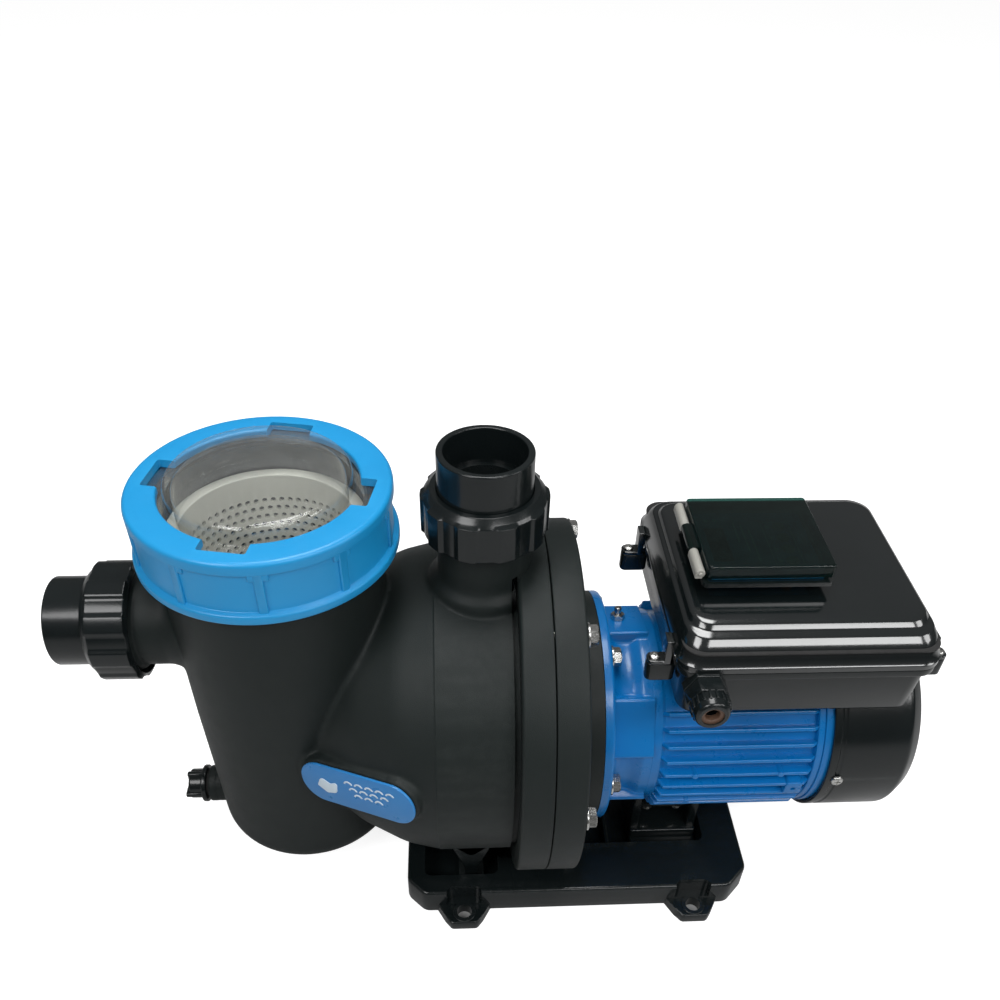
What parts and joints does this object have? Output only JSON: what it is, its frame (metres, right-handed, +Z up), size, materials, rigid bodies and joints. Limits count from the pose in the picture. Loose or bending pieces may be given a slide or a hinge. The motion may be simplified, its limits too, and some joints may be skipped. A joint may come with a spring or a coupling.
{
  "type": "pool pump",
  "caption": "Pool circulation pump with a strainer pot under a clear lid and lock ring, pipe unions on the side and top, a finned motor with a speed control box, and a bolt-down base.",
  "frame": {"origin": "centre of the four base bolt holes, on the floor plane", "axes": "+X along the shaft from the strainer pot towards the motor fan, +Z up along the discharge union, -Y is the side with the cable gland and the badge"},
  "size_m": [0.58, 0.254, 0.34],
  "materials": {
    "body_plastic": "fine moulded grain",
    "gloss_black": "smooth moulded",
    "ring_blue": "smooth moulded",
    "badge_blue": "smooth moulded, pale border",
    "motor_blue": "gloss enamel over a casting",
    "clear_plastic": "clear",
    "smoked_plastic": "smoked, clear",
    "rubber": "matt",
    "steel": "satin",
    "pale_plastic": "smooth moulded",
    "ceramic": "ground",
    "carbon": "ground",
    "lamination": "stacked sheet",
    "copper": "enamelled wire",
    "board_green": "solder mask",
    "capacitor": "shrink sleeve",
    "display_red": "tinted window"
  },
  "bodies": {
    "pump": {"pump_body": "body_plastic", "rear_cover": "body_plastic", "body_seal": "rubber", "rim_bolts": "steel", "inlet_seal": "rubber", "discharge_seal": "rubber", "badge": "badge_blue", "diffuser": "body_plastic", "seal_seat": "ceramic", "stator": "lamination", "windings": "copper", "bearing_outers": "steel", "front_shield": "motor_blue", "flange_bolts": "steel", "earth_bolt": "steel", "motor_frame": "motor_blue", "rear_shield": "motor_blue", "fan_cover": "gloss_black", "fan_cover_screws": "steel", "base_frame": "gloss_black", "volute_cradle": "gloss_black", "motor_foot": "gloss_black", "foot_bolts": "steel", "box_tray": "gloss_black", "box_gasket": "rubber", "box_cover": "gloss_black", "box_screws": "steel", "circuit_board": "board_green", "capacitors": "capacitor", "control_panel": "ring_blue", "display": "display_red", "hinge_barrels": "pale_plastic", "gland_body": "gloss_black"},
    "basket": {"strainer_basket": "pale_plastic"},
    "lid_gasket": {"lid_seal": "rubber"},
    "lid": {"clear_lid": "clear_plastic"},
    "ring": {"lock_ring": "ring_blue"},
    "inlet_pipe_tail": {"inlet_tail": "gloss_black"},
    "inlet_union_nut": {"inlet_nut": "gloss_black"},
    "discharge_pipe_tail": {"discharge_tail": "gloss_black"},
    "discharge_union_nut": {"discharge_nut": "gloss_black"},
    "drain_washer": {"drain_seal": "rubber"},
    "drain_screw": {"drain_plug": "gloss_black"},
    "rotor": {"motor_shaft": "steel", "rotor_core": "lamination", "impeller": "gloss_black", "seal_head": "carbon", "bearing_inners": "steel", "slinger": "rubber", "cooling_fan": "gloss_black"},
    "window_lid": {"flip_lid": "smoked_plastic"},
    "key_1": {"key_1": "pale_plastic"},
    "key_2": {"key_2": "pale_plastic"},
    "key_3": {"key_3": "pale_plastic"},
    "key_4": {"key_4": "pale_plastic"},
    "gland_seal": {"gland_insert": "rubber"},
    "gland_cap": {"gland_nut": "gloss_black"}
  },
  "joints": [
    {"name": "basket_lift", "type": "slide", "parent": "pump", "child": "basket", "axis": [0, 0, 1], "range_m": [0, 0.24]},
    {"name": "lid_lift", "type": "slide", "parent": "basket", "child": "lid_gasket", "axis": [0, 0, 1], "range_m": [0, 0.1]},
    {"name": "lid_rise", "type": "slide", "parent": "lid_gasket", "child": "lid", "axis": [0, 0, 1], "range_m": [0, 0.02405]},
    {"name": "ring_turn", "type": "hinge", "parent": "lid", "child": "ring", "pos_m": [-0.204, 0, 0.319], "axis": [0, 0, 1], "range_deg": [0, 1080]},
    {"name": "inlet_back_off", "type": "slide", "parent": "pump", "child": "inlet_pipe_tail", "axis": [-1, 0, 0], "range_m": [0, 0.01805]},
    {"name": "inlet_nut_turn", "type": "hinge", "parent": "inlet_pipe_tail", "child": "inlet_union_nut", "pos_m": [-0.3145, 0, 0.212], "axis": [-1, 0, 0], "range_deg": [0, 1080]},
    {"name": "discharge_back_off", "type": "slide", "parent": "pump", "child": "discharge_pipe_tail", "axis": [0, 0, 1], "range_m": [0, 0.01805]},
    {"name": "discharge_nut_turn", "type": "hinge", "parent": "discharge_pipe_tail", "child": "discharge_union_nut", "pos_m": [-0.07, 0, 0.3035], "axis": [0, 0, 1], "range_deg": [0, 1080]},
    {"name": "drain_back_off", "type": "slide", "parent": "pump", "child": "drain_washer", "axis": [-1, 0, 0], "range_m": [0, 0.01605]},
    {"name": "drain_plug_turn", "type": "hinge", "parent": "drain_washer", "child": "drain_screw", "pos_m": [-0.2835, 0, 0.038], "axis": [-1, 0, 0], "range_deg": [0, 2880]},
    {"name": "rotor_spin", "type": "hinge", "parent": "pump", "child": "rotor", "pos_m": [0, 0, 0.122], "axis": [1, 0, 0], "continuous": true},
    {"name": "flip_lid_hinge", "type": "hinge", "parent": "pump", "child": "window_lid", "pos_m": [0.0605, 0, 0.2752], "axis": [0, -1, 0], "range_deg": [0, 115]},
    {"name": "key_1_press", "type": "slide", "parent": "pump", "child": "key_1", "axis": [0, 0, -1], "range_m": [0, 0.0005], "stiffness_N_per_m": 400, "springref_m": -0.0005},
    {"name": "key_2_press", "type": "slide", "parent": "pump", "child": "key_2", "axis": [0, 0, -1], "range_m": [0, 0.0005], "stiffness_N_per_m": 400, "springref_m": -0.0005},
    {"name": "key_3_press", "type": "slide", "parent": "pump", "child": "key_3", "axis": [0, 0, -1], "range_m": [0, 0.0005], "stiffness_N_per_m": 400, "springref_m": -0.0005},
    {"name": "key_4_press", "type": "slide", "parent": "pump", "child": "key_4", "axis": [0, 0, -1], "range_m": [0, 0.0005], "stiffness_N_per_m": 400, "springref_m": -0.0005},
    {"name": "gland_back_off", "type": "slide", "parent": "pump", "child": "gland_seal", "axis": [0, -1, 0], "range_m": [0, 0.00455]},
    {"name": "gland_nut_turn", "type": "hinge", "parent": "gland_seal", "child": "gland_cap", "pos_m": [0.063, -0.078, 0.222], "axis": [0, -1, 0], "range_deg": [0, 1080]}
  ],
  "couplings": [
    {"joint": "lid_rise", "follows": "ring_turn", "m_per_rad": 0.0012732},
    {"joint": "inlet_back_off", "follows": "inlet_nut_turn", "m_per_rad": 0.00095493},
    {"joint": "discharge_back_off", "follows": "discharge_nut_turn", "m_per_rad": 0.00095493},
    {"joint": "drain_back_off", "follows": "drain_plug_turn", "m_per_rad": 0.00031831},
    {"joint": "gland_back_off", "follows": "gland_nut_turn", "m_per_rad": 0.00023873}
  ]
}
